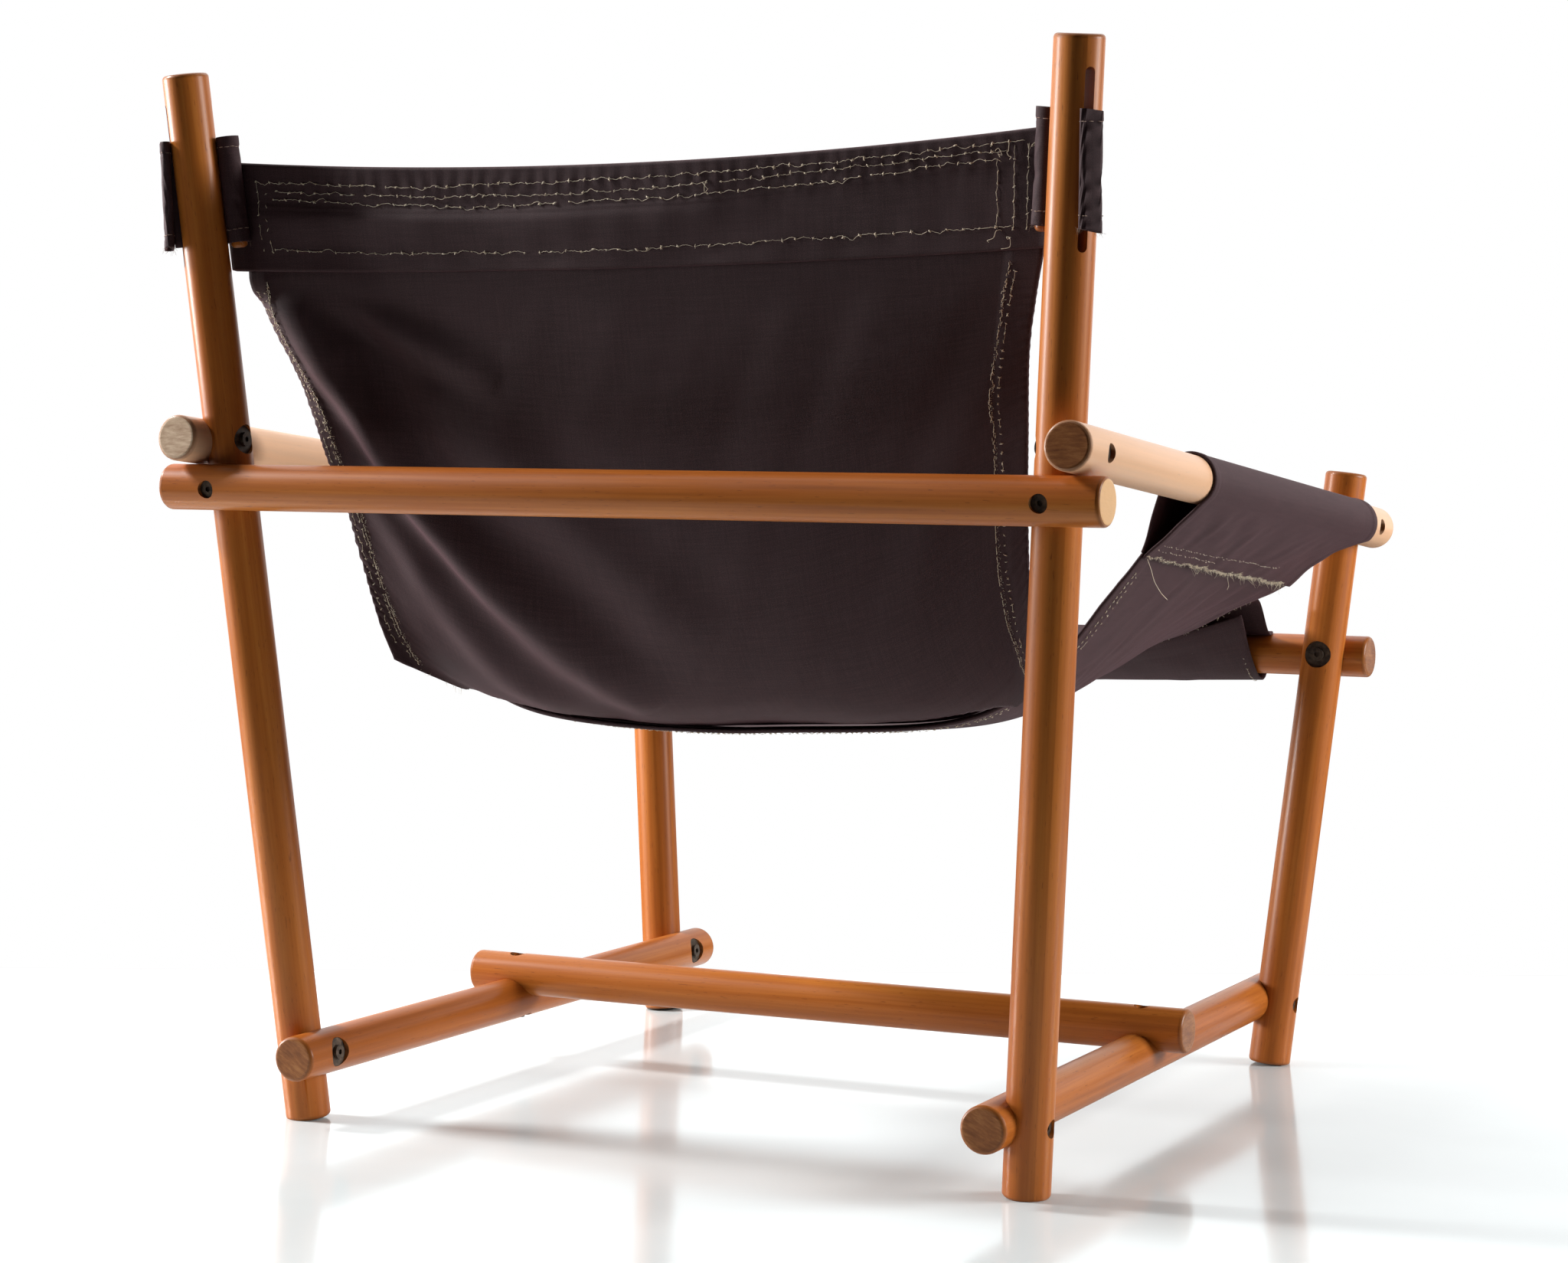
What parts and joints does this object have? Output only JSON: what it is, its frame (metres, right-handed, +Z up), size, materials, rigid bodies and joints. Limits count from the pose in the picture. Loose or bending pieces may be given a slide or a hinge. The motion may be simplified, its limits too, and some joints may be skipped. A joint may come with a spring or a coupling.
{
  "type": "safari chair",
  "caption": "Low lounge chair: round beech dowels crossed in bolted laps, with a sewn canvas sling hung by cloth toggles and sleeves.",
  "frame": {"origin": "on the floor, below the middle of the chair's box", "axes": "+Z up; the chair faces -Y; +X is the sitter's left"},
  "size_m": [0.7678, 0.7373, 0.8077],
  "materials": {
    "beech": "lacquered, warm honey brown",
    "pin_wood": "plain turned beech",
    "canvas": "worn dark aubergine brown canvas",
    "steel": "dark bronzed steel"
  },
  "bodies": {
    "chair": {"rear_post_left": "beech", "rear_post_right": "beech", "front_post_left": "beech", "front_post_right": "beech", "back_rail": "beech", "arm_rail_left": "beech", "arm_rail_right": "beech", "seat_rail": "beech", "side_stretcher_left": "beech", "side_stretcher_right": "beech", "cross_stretcher": "beech", "joint_bolts": "steel", "joint_washers": "steel", "sleeve_nuts": "steel", "toggle_loop_left": "canvas", "toggle_loop_right": "canvas", "back_band": "canvas", "back_panel": "canvas", "seat_panel": "canvas", "cross_panel": "canvas", "arm_sleeve_left": "canvas", "arm_sleeve_right": "canvas"},
    "pin_outer_left": {"toggle_pin_outer_left": "pin_wood"},
    "pin_inner_left": {"toggle_pin_inner_left": "pin_wood"},
    "pin_outer_right": {"toggle_pin_outer_right": "pin_wood"},
    "pin_inner_right": {"toggle_pin_inner_right": "pin_wood"}
  },
  "joints": [
    {"name": "pin_slide_outer_left", "type": "slide", "parent": "chair", "child": "pin_outer_left", "axis": [-0.0206, -0.0446, -0.9988], "range_m": [0, 0.076]},
    {"name": "pin_slide_inner_left", "type": "slide", "parent": "chair", "child": "pin_inner_left", "axis": [0.0739, 0.0893, 0.9933], "range_m": [0, 0.076]},
    {"name": "pin_slide_outer_right", "type": "slide", "parent": "chair", "child": "pin_outer_right", "axis": [0.0206, -0.0446, -0.9988], "range_m": [0, 0.076]},
    {"name": "pin_slide_inner_right", "type": "slide", "parent": "chair", "child": "pin_inner_right", "axis": [-0.0739, 0.0893, 0.9933], "range_m": [0, 0.076]}
  ]
}
